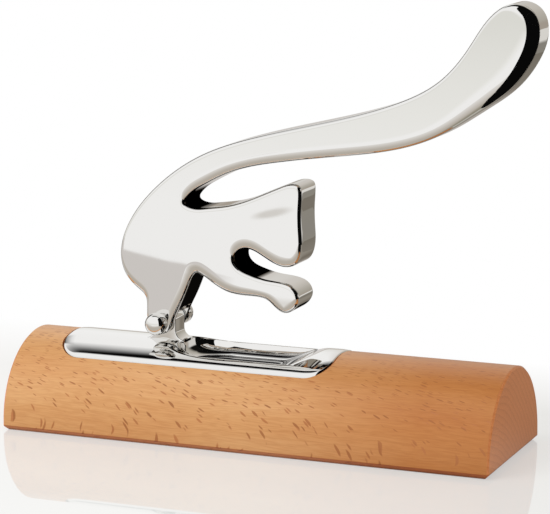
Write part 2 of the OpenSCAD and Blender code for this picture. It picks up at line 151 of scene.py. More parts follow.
def oiled_beech():
    """Steamed beech, flat-sawn, shaped along the grain and oiled: soft growth rings, fine fibre
    streaks, and the wood rays, thin upright sheets that show as short reddish dashes where the
    round top cuts through them and as tall flecks low on the sides, where it runs beside them."""
    m, t, shader, _ = finish_of("oiled beech", {"Roughness": 0.36, "IOR": 1.46})
    place = add(t, "TexCoord").outputs["Object"]

    def stretched(source, x, y, z):
        """Coordinates in cells of this many millimetres."""
        return add(
            t, "Mapping", {"Vector": source, "Scale": (1000 / x, 1000 / y, 1000 / z)}
        ).outputs[0]

    # the grain wanders a millimetre or two from straight, over 60 mm
    wander = add(t, "TexNoise", {"Vector": stretched(place, 60, 25, 25), "Scale": 1.0})
    shift = add(
        t, "VectorMath", {0: wander.outputs["Color"], 1: (0.5, 0.5, 0.5)}, operation="SUBTRACT"
    )
    shift = add(
        t, "VectorMath", {0: shift.outputs[0], 1: (0.0, 0.006, 0.006)}, operation="MULTIPLY"
    )
    grain = add(t, "VectorMath", {0: place, 1: shift.outputs[0]}).outputs[0]

    # broad patches of lighter and redder wood, 90 mm long and 20 mm across
    patch = add(
        t, "TexNoise", {"Vector": stretched(grain, 90, 20, 14), "Scale": 1.0, "Detail": 2.0}
    )
    wood = add(
        t,
        "ValToRGB",
        {0: patch.outputs[0]},
        stops=((0.3, "#D2985F"), (0.5, "#D69F67"), (0.7, "#DCA872")),
    ).outputs[0]
    # darker and redder towards the right-hand end
    along = add(t, "SeparateXYZ", {0: grain}).outputs[0]
    red = add(t, "MapRange", {"Value": along, "From Min": 0.0, "From Max": 0.08})
    wood = add(
        t,
        "Mix",
        {0: red.outputs[0], 6: wood, 7: linear("#E6CBAA")},
        data_type="RGBA",
        blend_type="MULTIPLY",
    ).outputs[2]

    # growth rings 2.8 mm apart, with a soft dark line, about a pith that lies 45 mm below the
    # underside and 50 mm to the front
    centred = add(t, "Mapping", {"Vector": grain, "Location": (0.0, 0.050, 0.045)}).outputs[0]
    across = add(t, "VectorMath", {0: centred, 1: (0.02, 1.0, 1.0)}, operation="MULTIPLY")
    far = add(t, "VectorMath", {0: across.outputs[0]}, operation="LENGTH").outputs["Value"]
    rings = add(t, "Math", {0: far, 1: 1 / 0.0028}, operation="MULTIPLY")
    ring = add(t, "Math", {0: rings.outputs[0]}, operation="FRACT")
    late = add(
        t,
        "ValToRGB",
        {0: ring.outputs[0]},
        stops=((0.0, "#FFFFFF"), (0.6, "#FAF4EE"), (0.9, "#E9D9C8"), (1.0, "#FFFFFF")),
    ).outputs[0]
    wood = add(
        t, "Mix", {0: 0.2, 6: wood, 7: late}, data_type="RGBA", blend_type="MULTIPLY"
    ).outputs[2]

    # fibre streaks 8 mm long and 0.5 mm across
    fibre = add(
        t, "TexNoise", {"Vector": stretched(grain, 8, 0.5, 0.5), "Scale": 1.0, "Detail": 2.0}
    )
    streak = add(
        t, "ValToRGB", {0: fibre.outputs[0]}, stops=((0.35, "#E2CBB2"), (0.62, "#FFFFFF"))
    ).outputs[0]
    wood = add(
        t, "Mix", {0: 0.36, 6: wood, 7: streak}, data_type="RGBA", blend_type="MULTIPLY"
    ).outputs[2]

    # rays: sheets up to 4.4 mm long, half a millimetre thick and 10 mm tall, in about four cells
    # of ten, standing at 12 degrees to the block's length
    askew = add(
        t, "Mapping", {"Vector": grain, "Rotation": (0.0, 0.0, math.radians(12))}
    ).outputs[0]
    cell = add(t, "TexVoronoi", {"Vector": stretched(askew, 4.8, 0.52, 11), "Scale": 1.0})
    pick = add(t, "SeparateColor", {0: cell.outputs["Color"]})
    reach = add(
        t, "MapRange", {"Value": pick.outputs[0], "From Min": 0.6, "To Min": 0.26, "To Max": 0.46}
    )
    depth = add(
        t, "Math", {0: reach.outputs[0], 1: cell.outputs["Distance"]}, operation="SUBTRACT"
    )
    kept = add(t, "Math", {0: pick.outputs[0], 1: 0.6}, operation="GREATER_THAN")
    fleck = add(t, "MapRange", {"Value": depth.outputs[0], "From Max": 0.12, "To Max": 0.85})
    fleck = add(t, "Math", {0: fleck.outputs[0], 1: kept.outputs[0]}, operation="MULTIPLY")
    tint = add(
        t, "ValToRGB", {0: pick.outputs[1]}, stops=((0.0, "#98582A"), (1.0, "#B87240"))
    ).outputs[0]
    wood = add(t, "Mix", {0: fleck.outputs[0], 6: wood, 7: tint}, data_type="RGBA").outputs[2]

    # end grain drinks more oil, so it is duller and redder, with rings and pores only
    facing = add(t, "SeparateXYZ", {0: add(t, "NewGeometry").outputs["Normal"]})
    sideways = add(t, "Math", {0: facing.outputs[0]}, operation="ABSOLUTE")
    end = add(t, "MapRange", {"Value": sideways.outputs[0], "From Min": 0.3, "From Max": 0.6})
    pores = add(
        t, "TexNoise", {"Vector": stretched(grain, 0.8, 0.45, 0.45), "Scale": 1.0, "Detail": 3.0}
    )
    cut = add(
        t, "ValToRGB", {0: pores.outputs[0]}, stops=((0.3, "#D27F45"), (0.7, "#E49257"))
    ).outputs[0]
    cut = add(
        t, "Mix", {0: 0.6, 6: cut, 7: late}, data_type="RGBA", blend_type="MULTIPLY"
    ).outputs[2]
    wood = add(t, "Mix", {0: end.outputs[0], 6: wood, 7: cut}, data_type="RGBA").outputs[2]
    # painted shade on the chamfer round the foot, darker towards the floor it faces; a darker line
    # also runs where the chamfer meets the side, 2 mm up
    low = add(t, "SeparateXYZ", {0: place}).outputs[2]
    foot_shade_band = add(
        t,
        "ValToRGB",
        {0: add(t, "MapRange", {"Value": low, "From Max": 0.003}).outputs[0]},
        stops=((0.0, "#C08860"), (0.55, "#E0AC84"), (0.68, "#B87848"), (0.82, "#FFFFFF")),
    ).outputs[0]
    wood = add(
        t, "Mix", {0: 0.8, 6: wood, 7: foot_shade_band}, data_type="RGBA", blend_type="MULTIPLY"
    ).outputs[2]
    t.links.new(wood, shader.inputs["Base Color"])
    # raised fibres, a twentieth of a millimetre
    bump = add(t, "Bump", {"Height": fibre.outputs[0], "Strength": 0.5, "Distance": 0.00005})
    t.links.new(bump.outputs[0], shader.inputs["Normal"])
    return m


def bright_steel():
    """Zinc-plated steel wire and screws: grey, with faint turning marks."""
    m, t, shader, _ = finish_of(
        "zinc-plated steel", {"Base Color": linear("#B9BCC0"), "Metallic": 1.0, "Roughness": 0.3}
    )
    place = add(t, "TexCoord").outputs["Object"]
    marks = add(t, "TexNoise", {"Vector": place, "Scale": 900.0, "Detail": 2.0})
    rough = add(t, "MapRange", {"Value": marks.outputs[0], "To Min": 0.2, "To Max": 0.42})
    t.links.new(rough.outputs[0], shader.inputs["Roughness"])
    return m


def sintered_bronze():
    """Sintered bronze of the bush: dull gold-brown, with oil-filled pores, drawn 0.4 mm apart,
    which is coarser than they are."""
    m, t, shader, _ = finish_of(
        "sintered bronze", {"Base Color": linear("#A8793F"), "Metallic": 1.0, "Roughness": 0.4}
    )
    place = add(t, "TexCoord").outputs["Object"]
    pores = add(t, "TexNoise", {"Vector": place, "Scale": 2500.0, "Detail": 2.0})
    bump = add(t, "Bump", {"Height": pores.outputs[0], "Strength": 0.4, "Distance": 0.00005})
    t.links.new(bump.outputs[0], shader.inputs["Normal"])
    return m


def wool_felt():
    """Pressed wool felt: matted fibres about 1 mm long, dark green, soft and without gloss."""
    m, t, shader, _ = finish_of(
        "wool felt", {"Roughness": 0.95, "Sheen Weight": 0.4, "Sheen Roughness": 0.6}
    )
    place = add(t, "TexCoord").outputs["Object"]
    fibres = add(t, "TexNoise", {"Vector": place, "Scale": 900.0, "Detail": 5.0, "Distortion": 2.0})
    colour = add(
        t, "ValToRGB", {0: fibres.outputs[0]}, stops=((0.3, "#26331F"), (0.7, "#4B5C3E"))
    ).outputs[0]
    t.links.new(colour, shader.inputs["Base Color"])
    bump = add(t, "Bump", {"Height": fibres.outputs[0], "Strength": 0.8, "Distance": 0.0003})
    t.links.new(bump.outputs[0], shader.inputs["Normal"])
    return m


chrome = polished_chrome()
beech = oiled_beech()
steel = bright_steel()
bronze = sintered_bronze()
felt = wool_felt()

# ---------------------------------------------------------------- meshes


def new_piece(name, points, faces, material, body, slot, *stands_for, sharp=35):
    """Makes an object from points in millimetres and faces, smooth but for edges over the sharp
    angle, gives it its finish and its body, and hides the CAD nodes that it stands for."""
    mesh = bpy.data.meshes.new(name)
    mesh.from_pydata((np.asarray(points) * MM).tolist(), [], faces)
    mesh.materials.append(material)
    obj = bpy.data.objects.new(name, mesh)
    bpy.context.scene.collection.objects.link(obj)
    settle(mesh, sharp)
    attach(obj, body)
    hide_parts(*stands_for)
    return obj


def settle(mesh, sharp):
    """Closes the seams of a mesh, drops empty faces and smooths all but its sharp edges."""
    fuse(mesh)
    mesh.validate()
    mesh.shade_smooth()
    mesh.set_sharp_from_angle(angle=math.radians(sharp))


def strips(rows, closed=True, start=0):
    """Quads between neighbouring rows of a grid of point numbers, with rows x columns points
    numbered from start. A closed grid joins its last column to its first."""
    count, width = rows
    k = np.arange(count * width).reshape(rows) + start
    if closed:
        k = np.concatenate([k, k[:, :1]], axis=1)
    quads = np.stack([k[:-1, :-1], k[1:, :-1], k[1:, 1:], k[:-1, 1:]], axis=-1)
    return quads.reshape(-1, 4).tolist()


def revolve(profile, centre, direction, turns=96):
    """A closed profile of (radius, height) points turned about a line through centre. Point
    (a, i) is centre + height_i * direction + radius_i * (u cos a + v sin a). The profile runs
    anticlockwise when the line points up, and points with no radius become one pole."""
    d = np.array(direction, float)
    u = np.array([0.0, 0.0, 1.0]) if abs(d[2]) < 0.5 else np.array([1.0, 0.0, 0.0])
    v = np.cross(u, d)
    a = np.linspace(0, 2 * np.pi, turns, endpoint=False)[None, :, None]
    r, h = np.array(profile, float).T[:, :, None, None]
    points = np.array(centre) + h * d + r * (np.cos(a) * u + np.sin(a) * v)
    return points.reshape(-1, 3), strips(points.shape[:2])


def arc(centre, radius, start, end, count):
    """Points of an arc, centre + radius * (cos a, sin a), from start to end degrees."""
    a = np.radians(np.linspace(start, end, count))
    return np.stack([centre[0] + radius * np.cos(a), centre[1] + radius * np.sin(a)], axis=1)


def gather(*parts):
    """Several (points, faces) as one."""
    points, faces, start = [], [], 0
    for p, f in parts:
        points.append(np.asarray(p))
        faces += [[i + start for i in face] for face in f]
        start += len(p)
    return np.concatenate(points), faces


def fuse(mesh, reach=0.004):
    """Merges the points of a mesh that lie within reach millimetres of each other."""
    work = bmesh.new()
    work.from_mesh(mesh)
    bmesh.ops.remove_doubles(work, verts=work.verts, dist=reach * MM)
    work.to_mesh(mesh)
    work.free()


# ---------------------------------------------------------------- squirrel lever

# Outline of the squirrel in millimetres right of and above its own zero, anticlockwise
# from the foot, seen from the front.
FOOT = [(6.8, 2.6), (9.9, 9), (13.2, 16.4), (15.4, 21.2), (17, 22.8), (19.4, 22.2)]
BELLY = [(24.5, 19.1), (30.8, 15.8), (38, 14.4), (46, 14.2)]
PAW = [(50.6, 13.2), (55, 9.7), (59.2, 8), (63.4, 10.1), (65.7, 14.4), (64, 18.8)]
ARM = [(58.6, 21.3), (50, 22.3), (42, 24.4), (37, 27), (35.4, 30.4), (37.4, 34), (41.8, 35)]
CHIN = [(47, 33.1), (52.4, 30.1), (58.6, 28.2), (64, 29.8), (66.5, 34.6)]
HEAD = [(66.7, 44), (66.5, 54), (66.8, 60.4), (66, 63.8), (62.8, 64.8), (57.4, 63.4)]
BACK = [(46, 58.4), (33, 53.8), (22, 52), (15, 52), (12.2, 53.7), (13.6, 56.5)]
UNDER_TAIL = [(20.6, 61.7), (33, 67.9), (54, 73.3), (84, 77.7), (111, 82.4), (128, 88.7)]
THUMB = [(144, 98.6), (157.6, 108.7), (166.4, 120.4), (170, 132), (167, 141.6), (159.6, 144.7)]
TAIL_TOP = [(150.8, 140.4), (141, 127), (128, 111.8), (108, 101.2), (76, 91.9), (44, 83.8)]
RUMP = [(19.7, 74.9), (-1.7, 59.9)]
HAUNCH = [(-14.5, 44.1), (-19, 29.5), (-17, 20.4), (-11, 14), (-7.4, 10.8), (-6.5, 5.4)]
BODY = FOOT + BELLY + PAW + ARM + CHIN + HEAD + BACK
DRAWN = BODY + UNDER_TAIL + THUMB + TAIL_TOP + RUMP + HAUNCH
OUTLINE_ZERO = (-0.5, 0.3)  # from the hinge axis
SOLE_RADIUS = 5.8  # of the round foot about the hinge
SOLE_BACK = 0.9  # how far its centre lies to the left of the hinge
FORK_DEPTH = 6.6  # roof of the fork above the hinge axis
FORK_HALF = 5.8  # half the fork's width
ROLL = (1.7, 5.5)  # how far in the faces start to roll over, at upper and at lower edges
DROP = 2.5  # how far they drop to the edge
TIP_ROLL = 5.0  # how much further in they start at the thumb end of the tail
TIP_DROP = 2.2  # how much further the front face drops there
TIP_START = 118  # where that end begins, to the right of the hinge
TIP_RUN = 34  # the length over which it grows to its full measure


def closed_spline(knots, per):
    """The closed cubic spline through the knots, with per points on each stretch. The stretch
    lengths h are the chords. The slopes m make the bending equal on both sides of each knot:
    m_i = (3 (chord before / h^2 + chord after / h^2) - m before / h - m after / h)
    / (2 / h before + 2 / h after), repeated until it settles. Each stretch is then the cubic
    with those slopes at its ends."""
    after = np.roll(knots, -1, 0) - knots
    h = np.linalg.norm(after, axis=1)[:, None]
    before, g = np.roll(after, 1, 0), np.roll(h, 1, 0)
    m = (after + before) / (h + g)
    pull = 3 * (before / g**2 + after / h**2)
    for _ in range(60):
        m = (pull - np.roll(m, 1, 0) / g - np.roll(m, -1, 0) / h) / (2 / h + 2 / g)
    t = (np.arange(per) / per)[None, :, None]
    p, q, a, b, s = (x[:, None, :] for x in (knots, np.roll(knots, -1, 0), m, np.roll(m, -1, 0), h))
    curve = (2 * t**3 - 3 * t**2 + 1) * p + (t**3 - 2 * t**2 + t) * s * a
    curve = curve + (3 * t**2 - 2 * t**3) * q + (t**3 - t**2) * s * b
    return curve.reshape(-1, 2)


def inward(ring):
    """Unit directions into a closed anticlockwise ring: the run between the two neighbours of
    each point, turned a quarter to the left."""
    run = np.roll(ring, -1, 0) - np.roll(ring, 1, 0)
    side = np.stack([-run[:, 1], run[:, 0]], axis=1)
    return side / np.linalg.norm(side, axis=1)[:, None]


def room_inside(ring, side, most):
    """How far each point may move inwards before it meets the middle of the shape: the least
    radius of a circle that touches the ring there and passes through another of its points,
    |d|^2 / (2 d . side). It is kept under most, and evened out along the ring."""
    d = ring[None, :, :] - ring[:, None, :]
    along = np.einsum("ijk,ik->ij", d, side)
    radius = np.where(along > 1e-4, (d**2).sum(2) / (2 * np.maximum(along, 1e-4)), 1e9)
    free = np.minimum(radius.min(1) * 0.75, most)
    room = free.copy()
    for _ in range(60):
        room = np.minimum(free, (np.roll(room, 1) + 2 * room + np.roll(room, -1)) / 4)
    return room


def squirrel_outline():
    """The spline outline in the side plane, in millimetres from the frame's origin, with points
    put in where it crosses the roof of the fork, turned so that the fork's part comes first."""
    sole = [
        (SOLE_RADIUS * math.cos(a) - SOLE_BACK, SOLE_RADIUS * math.sin(a))
        for a in map(math.radians, (-172, -140, -108, -76, -44, -16))
    ]
    knots = np.concatenate([np.array(sole), np.array(DRAWN) + OUTLINE_ZERO])
    ring = closed_spline(knots, 8)
    near = np.abs(ring[:, 0]) < 12  # of the foot, not of the paw or the tail
    low = near & (ring[:, 1] < FORK_DEPTH)
    first = int(np.flatnonzero(low & ~np.roll(low, 1))[0])
    ring, low = np.roll(ring, -first, 0), np.roll(low, -first)
    last = int(low.sum()) - 1

    def crossing(a, b):
        """Where the line from a to b passes the height of the fork's roof."""
        return a + (b - a) * (FORK_DEPTH - a[1]) / (b[1] - a[1])

    left = crossing(ring[-1], ring[0])
    right = crossing(ring[last], ring[last + 1])
    ring = np.concatenate([[left], ring[: last + 1], [right], ring[last + 1 :]])
    return ring + (hinge[0], hinge[2]), last + 2


def squirrel():
    """The cast squirrel. Rings of the outline are moved inwards by room * (1 - cos a) and lie
    DROP * (1 - sin a) below the face as a goes from 0 to 90 degrees, so each edge is a quarter
    of an ellipse, tight at the wall and wide at the face. At the thumb end of the tail, by the
    share tip, the edge is wider by TIP_ROLL and the front face drops TIP_DROP * (1 - sin a)
    more. The fork is left open between its cheeks and closed with their inner faces and its
    roof."""
    half = lever_hi[1]
    ring, fork = squirrel_outline()
    side = inward(ring)
    underneath = np.clip(side[:, 1], 0, 1)
    tip = np.clip((ring[:, 0] - hinge[0] - TIP_START) / TIP_RUN, 0, 1) ** 2
    tip = tip * np.clip(0.5 - side[:, 0], 0, 1)
    room = room_inside(ring, side, ROLL[0] + (ROLL[1] - ROLL[0]) * underneath + TIP_ROLL * tip)
    a = np.radians(np.linspace(90, 0, 13))
    # the outermost ring of each flat face lies a little further in, so that the face stays flat
    inset = np.concatenate([[1.1], 1 - np.cos(a), [0, 0], 1 - np.cos(a[::-1]), [1.1]])
    edge = np.concatenate([[half], half - DROP * (1 - np.sin(a))])
    y = np.concatenate([-edge, [-FORK_HALF, FORK_HALF], edge[::-1]])
    flat = ring[None] + inset[:, None, None] * (room[:, None] * side)[None]
    down = np.concatenate([[0], 1 - np.sin(a), np.zeros(len(y) - 14)])
    level = y[:, None] + TIP_DROP * down[:, None] * tip[None]
    points = np.stack([flat[..., 0], level, flat[..., 1]], -1)
    n, width = len(y), len(ring)
    quads = np.array(strips((n, width)))
    gap = n // 2 - 1  # the strip between the two rings at the fork's faces
    row, col = np.divmod(np.arange(len(quads)), width)
    quads = quads[~((row == gap) & (col < fork - 1))]
    faces = quads.tolist()
    faces.append(list(range(width)))
    faces.append([(n - 1) * width + i for i in range(width)][::-1])
    inner, outer = gap * width, (gap + 1) * width
    faces.append([inner + i for i in range(fork)][::-1])
    faces.append([outer + i for i in range(fork)])
    faces.append([inner, inner + fork - 1, outer + fork - 1, outer])
    return points.reshape(-1, 3), faces


# roots of the notches where the lever's chrome walls get painted shade, and the distances over
# which it fades
NOTCHES = ((12.2, 53.7, 6.0, 11.5), (35.4, 30.4, 12.0, 14.5))  # under the tail, above the arm
lever_chrome = polished_chrome(
    "polished chromium plate, lever",
    [((hinge[0] + x) * MM, (hinge[2] + z) * MM, a * MM, b * MM) for x, z, a, b in NOTCHES],
)
new_piece("squirrel", *squirrel(), lever_chrome, "lever", "chrome", "squirrel_lever")


BALL = 5.0  # radius of the ball caps
BALL_OUT = 4.0  # from the cheek to the ball's centre
PIN_BORE = 2.52


def ball_cap(side):
    """A ball pressed on the pin's end, cut flat where it meets the cheek: a circle's arc turned
    about the pin, with a small round where the flat begins and a bore for the pin."""
    face = lever_hi[1]
    flat = math.degrees(math.asin(BALL_OUT / BALL))
    ball = arc((0.0, face + BALL_OUT), BALL, -flat, 90, 40)
    end = face + BALL_OUT + 0.2  # of the bore
    bore = [(0.0, end), (PIN_BORE, end), (PIN_BORE, face)]
    profile = [*bore, *ball[:-1], (0.0, face + BALL_OUT + BALL)]
    return revolve(profile, hinge * (1, 0, 1), (0, side, 0))


for place, side in (("front", -1), ("rear", 1)):
    new_piece(f"{place}_ball", *ball_cap(side), chrome, "lever", "chrome", f"{place}_ball_cap")

# ---------------------------------------------------------------- tray

CROWN = base_hi[2] + 0.5  # top of the tray, half a millimetre proud of the wood
ARCH = 40.0  # radius of the tray's arch
ARCH_AXIS = CROWN - ARCH
CORNER = 11.0  # radius of the tray's corners in plan
EDGE = 0.8  # how far in from its outline the tray's top starts to roll over
ROLL_DOWN = 1.9  # how far it rolls down
EASE = 4.6  # how far in from its outline the top starts to bend down towards the roll
TROUGH = 18.0  # half the trough's width at the crown
DEPTH = 9.5  # of the trough's floor below the crown
FILLET = 7.0  # between the trough's floor and its wall
DRAFT = math.radians(14)  # of the trough's wall from upright
SLOPE = math.tan(math.radians(24))  # of the ramp
END_X = hinge[0] + 6.5 + TROUGH  # centre of the trough's round end
RAMP_X = END_X + 27.5  # foot of the ramp
FLOOR_Z = CROWN - DEPTH
FOOT_UP = FILLET * (1 - math.sin(DRAFT))  # height of the fillet's upper end over the floor
FLOOR_HALF = TROUGH - FILLET * math.cos(DRAFT) - (DEPTH - FOOT_UP) * math.tan(DRAFT)
WALL = FLOOR_HALF + FILLET * math.cos(DRAFT)  # where the fillet runs into the wall
PLATE = 19.2  # past the rim, where the plain plate begins
PLATE_THICK = 2.4


def arch(y):
    """Height of the tray's arch, a circle about a line along X."""
    return ARCH_AXIS + np.sqrt(ARCH**2 - y**2)


def softer(a, b, k, sign):
    """The greater (sign 1) or the lesser (sign -1) of two heights, with the corner between them
    rounded: (a + b + sign * sqrt((a - b)^2 + k^2)) / 2, less what that adds far from it."""
    return (a + b + sign * np.sqrt((a - b) ** 2 + k**2)) / 2


def shell(x, y):
    """Height of the tray's plate: the arch, less d^2 / 32 within EASE of the outline, where d is
    how far past that line a point is. It eases less at the ends than on the long sides."""
    cx, cy = (tray_hi[0] + tray_lo[0]) / 2, tray_hi[1] - CORNER
    px = np.maximum(np.abs(x - cx) - (tray_hi[0] - cx - CORNER), 0)
    py = np.maximum(np.abs(y) - cy, 0)
    past = np.maximum(np.hypot(px, py) - (CORNER - EASE), 0)
    return arch(y) - past**2 / 32 * (0.4 + 0.6 * (y / tray_hi[1]) ** 2)


def tray_height(x, y):
    """Top of the casting: the arch, or the trough where that is lower. The trough's section is a
    flat floor, a round fillet and a wall at the draft angle, by the distance from the middle
    line and its round end, and the ramp rises out of its floor."""
    rho = np.where(x < END_X, np.hypot(x - END_X, y), np.abs(y))
    bend = np.clip(rho - FLOOR_HALF, 0, WALL - FLOOR_HALF)
    section = FLOOR_Z + FILLET - np.sqrt(FILLET**2 - bend**2)
    section = section + np.maximum(rho - WALL, 0) / math.tan(DRAFT)
    trough = softer(section, FLOOR_Z + (x - RAMP_X) * SLOPE, 0.6, 1)
    trough = np.where(x < END_X, section, trough)
    return softer(trough, shell(x, y), 0.7, -1)


def left_outline(share, r):
    """Points of the tray's left outline at shares 0 to 1 of its half length, from beside the
    round end's centre to the middle of the left end, on the +Y side, for a corner radius r."""
    flat = tray_hi[1] - CORNER + r
    x = tray_lo[0] + CORNER
    runs = np.array([END_X - x, r * np.pi / 2, tray_hi[1] - CORNER])
    s = share * runs.sum()
    a = np.clip((s - runs[0]) / r, 0, np.pi / 2)
    px = np.where(s < runs[0], END_X - s, x - r * np.sin(a))
    py = np.where(s < runs[0] + runs[1], flat - r + r * np.cos(a), runs.sum() - s)
    return px, np.where(s < runs[0], flat, py)


def tray_grid():
    """Plan positions of the tray's top, as rows from the middle line outwards and columns that
    run from the ramp end along the rear side, round the trough's end and back along the front."""
    r = CORNER - EDGE
    side = tray_hi[1] - EDGE
    phi = np.arcsin((PLATE - (side - r)) / r)
    rows = np.concatenate(
        [
            np.linspace(0, FLOOR_HALF, 9)[:-1],
            FLOOR_HALF + FILLET * np.sin(np.linspace(0, np.pi / 2 - DRAFT, 18))[:-1],
            np.linspace(WALL, PLATE, 22)[:-1],
            side - r + r * np.sin(np.linspace(phi, np.pi / 2, 14)),
        ]
    )
    rho = rows[:, None]
    lip = np.minimum(RAMP_X + (arch(np.minimum(rho, TROUGH)) - FLOOR_Z) / SLOPE, tray_hi[0])
    end = tray_hi[0] - CORNER + np.sqrt(r**2 - np.clip(rho - (side - r), 0, r) ** 2)
    # columns: plain plate, the ramp's soft upper end, the ramp, and the trough's straight part
    step = [np.linspace(0, 1, n)[None, :] for n in (22, 12, 34, 30)]
    stops = [end, lip + 1.2, lip - 1.2, np.full_like(rho, RAMP_X - 2), np.full_like(rho, END_X)]
    x = [a + (b - a) * s[:, :-1] for a, b, s in zip(stops, stops[1:], step)]
    x = np.concatenate(x, axis=1)
    y = np.broadcast_to(rho, x.shape)
    turn = np.linspace(0, 1, 56)[None, :]
    rx = END_X - np.minimum(rho, PLATE) * np.sin(turn * np.pi / 2)
    ry = np.minimum(rho, PLATE) * np.cos(turn * np.pi / 2)
    ox, oy = left_outline(turn, r)
    t = np.clip((rho - PLATE) / (side - PLATE), 0, 1)
    rear_x = np.concatenate([x, rx + t * (ox - rx)], axis=1)
    rear_y = np.concatenate([y, ry + t * (oy - ry)], axis=1)
    return (
        np.concatenate([rear_x, rear_x[:, -2::-1]], axis=1),
        np.concatenate([rear_y, -rear_y[:, -2::-1]], axis=1),
    )


def tray_casting():
    """The tray without its lug and bosses: the top, its rounded edge, the side wall and an
    underside that follows the top."""
    x, y = tray_grid()
    z = tray_height(x, y)
    count, width = x.shape
    top = np.stack([x, y, z], axis=-1)
    under = np.stack([x, y, z - PLATE_THICK], axis=-1)
    # the rim of the grid, in order: rear end, long outer row, front end
    rim = np.concatenate([top[:-1, 0], top[-1, :-1], top[::-1, -1][:-1]])
    along = np.roll(rim, -1, 0) - np.roll(rim, 1, 0)
    out = np.stack([along[:, 1], -along[:, 0]], axis=1)
    out = out / np.linalg.norm(out, axis=1)[:, None]
    a = np.radians(np.linspace(0, 90, 13))
    push = np.concatenate([EDGE * np.sin(a), [EDGE, 0.0]])
    fall = np.concatenate([ROLL_DOWN * (1 - np.cos(a)), [PLATE_THICK, PLATE_THICK]])
    plan = rim[None, :, :2] + push[:, None, None] * out[None]
    # the edge follows the plate's own height past the top's rim
    level = np.where(push[:, None] > 0, shell(plan[..., 0], plan[..., 1]), rim[None, :, 2])
    level = np.minimum(level, rim[None, :, 2])
    wall = np.concatenate([plan, (level - fall[:, None])[..., None]], axis=-1)
    wall[-1, :, 2] = rim[:, 2] - PLATE_THICK
    return gather(
        (top.reshape(-1, 3), strips((count, width), closed=False)),
        (under.reshape(-1, 3), [f[::-1] for f in strips((count, width), closed=False)]),
        (wall.reshape(-1, 3), strips(wall.shape[:2])),
    )


def lug():
    """The upright lug for the pin: a round top, straight sides and round fillets out into the
    tray, with its own small edge rounding and a bore for the bush. Each flat side is two faces
    that meet on the upright line through the bore."""
    half, r, f = 5.0, 5.2, 4.0  # half its width, its round top, the fillets at its foot
    drop, sunk = hinge[2] - CROWN, 1.2  # from the pin to the crown, and on into the tray
    edge, bore = 0.5, 3.67
    right = np.concatenate(
        [
            [(0.0, -drop - sunk)],
            [(r + f, -drop - sunk)],
            arc((r + f, f - drop), f, 270, 180, 16),
            arc((0.0, 0.0), r, 0, 90, 24),
        ]
    )
    left = (right * (-1, 1))[-2:0:-1]
    ring = np.concatenate([right, left])
    side = inward(ring)
    a = np.radians(np.linspace(90, 0, 7))
    inset = np.concatenate([edge * (1 - np.cos(a)), edge * (1 - np.cos(a[::-1]))])
    drop_in = half - edge * (1 - np.sin(a))
    y = np.concatenate([-drop_in, drop_in[::-1]])
    flat = ring[None] + inset[:, None, None] * side[None]
    body = np.stack([flat[..., 0], np.broadcast_to(y[:, None], flat.shape[:2]), flat[..., 1]], -1)
    n, width = body.shape[:2]
    turns = 48
    hole = arc((0.0, 0.0), bore, -90, 270, turns + 1)[:-1]
    holes = np.stack([np.insert(hole, 1, s * half, axis=1) for s in (-1, 1)])
    top = len(right) - 1
    outer = np.array(body.shape[:2]).prod()
    faces = strips((n, width))
    for row, start, flip in ((0, outer, 1), ((n - 1) * width, outer + turns, -1)):
        rise = [row + i for i in range(top + 1)] + [start + i for i in range(turns // 2, -1, -1)]
        fall = [row + i for i in range(top, width)] + [row]
        fall += [start + i % turns for i in range(turns, turns // 2 - 1, -1)]
        faces += [rise[::flip], fall[::flip]]
    faces += strips((2, turns), start=outer)
    points = np.concatenate([body.reshape(-1, 3), holes.reshape(-1, 3)])
    low = np.clip(-points[:, 2] / drop, 0, 1)
    points[:, 2] -= (CROWN - arch(points[:, 1])) * low
    return points + hinge * (1, 0, 1), faces


BOSS_FOOT = 28.0  # its lower rim
BOSS_RADIUS = 4.6
THREAD_TOP = 36.0
THREAD_RADIUS = 2.05
SCREW_HEAD = 3.8  # radius of a screw's head


def boss(x):
    """A screw boss under the tray: a tube that stands on its own lower rim."""
    top = CROWN - 2.2
    thread = [(0, THREAD_TOP), (THREAD_RADIUS, THREAD_TOP), (THREAD_RADIUS, BOSS_FOOT)]
    profile = [*thread, (BOSS_RADIUS, BOSS_FOOT), (BOSS_RADIUS, top), (0, top)]
    return revolve(profile, (x, 0, 0), (0, 0, 1), 32)


boss_x = [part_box(f"tray_screw_{name}")[0][0] / MM + SCREW_HEAD for name in ("left", "middle")]
new_piece(
    "tray_casting",
    *gather(tray_casting(), lug(), *map(boss, boss_x)),
    chrome,
    "base",
    "chrome",
    "tray",
)

# ---------------------------------------------------------------- pieces kept from the CAD

FINISH = {
    "wood_base": beech,
    "hinge_pin": steel,
    "hinge_bush": bronze,
    "front_hinge_washer": steel,
    "rear_hinge_washer": steel,
}
for name, node in nodes.items():
    finish = FINISH.get(name, felt if name.startswith("felt") else steel)
    for holder in node.material_slots:
        holder.material = finish

# ---------------------------------------------------------------- camera

AZIMUTH, ELEVATION = math.radians(21.971), math.radians(10.483)
AWAY = 1.087345  # metres from the point that it looks at
AIM = (0.003128, 0.0, 0.079792)

cam = bpy.data.cameras.new("camera")
cam.sensor_width = 36.0
cam.lens = 163.6
cam.clip_end = 20.0
cam_obj = bpy.data.objects.new("camera", cam)
bpy.context.scene.collection.objects.link(cam_obj)
level = math.cos(ELEVATION)
back = np.array([math.sin(AZIMUTH) * level, -math.cos(AZIMUTH) * level, math.sin(ELEVATION)])
right = np.array([math.cos(AZIMUTH), math.sin(AZIMUTH), 0.0])
up = np.cross(back, right)
turned = Matrix([[right[i], up[i], back[i]] for i in range(3)]).to_4x4()
cam_obj.matrix_world = Matrix.Translation(np.array(AIM) + AWAY * back) @ turned
bpy.context.scene.camera = cam_obj

# ---------------------------------------------------------------- studio


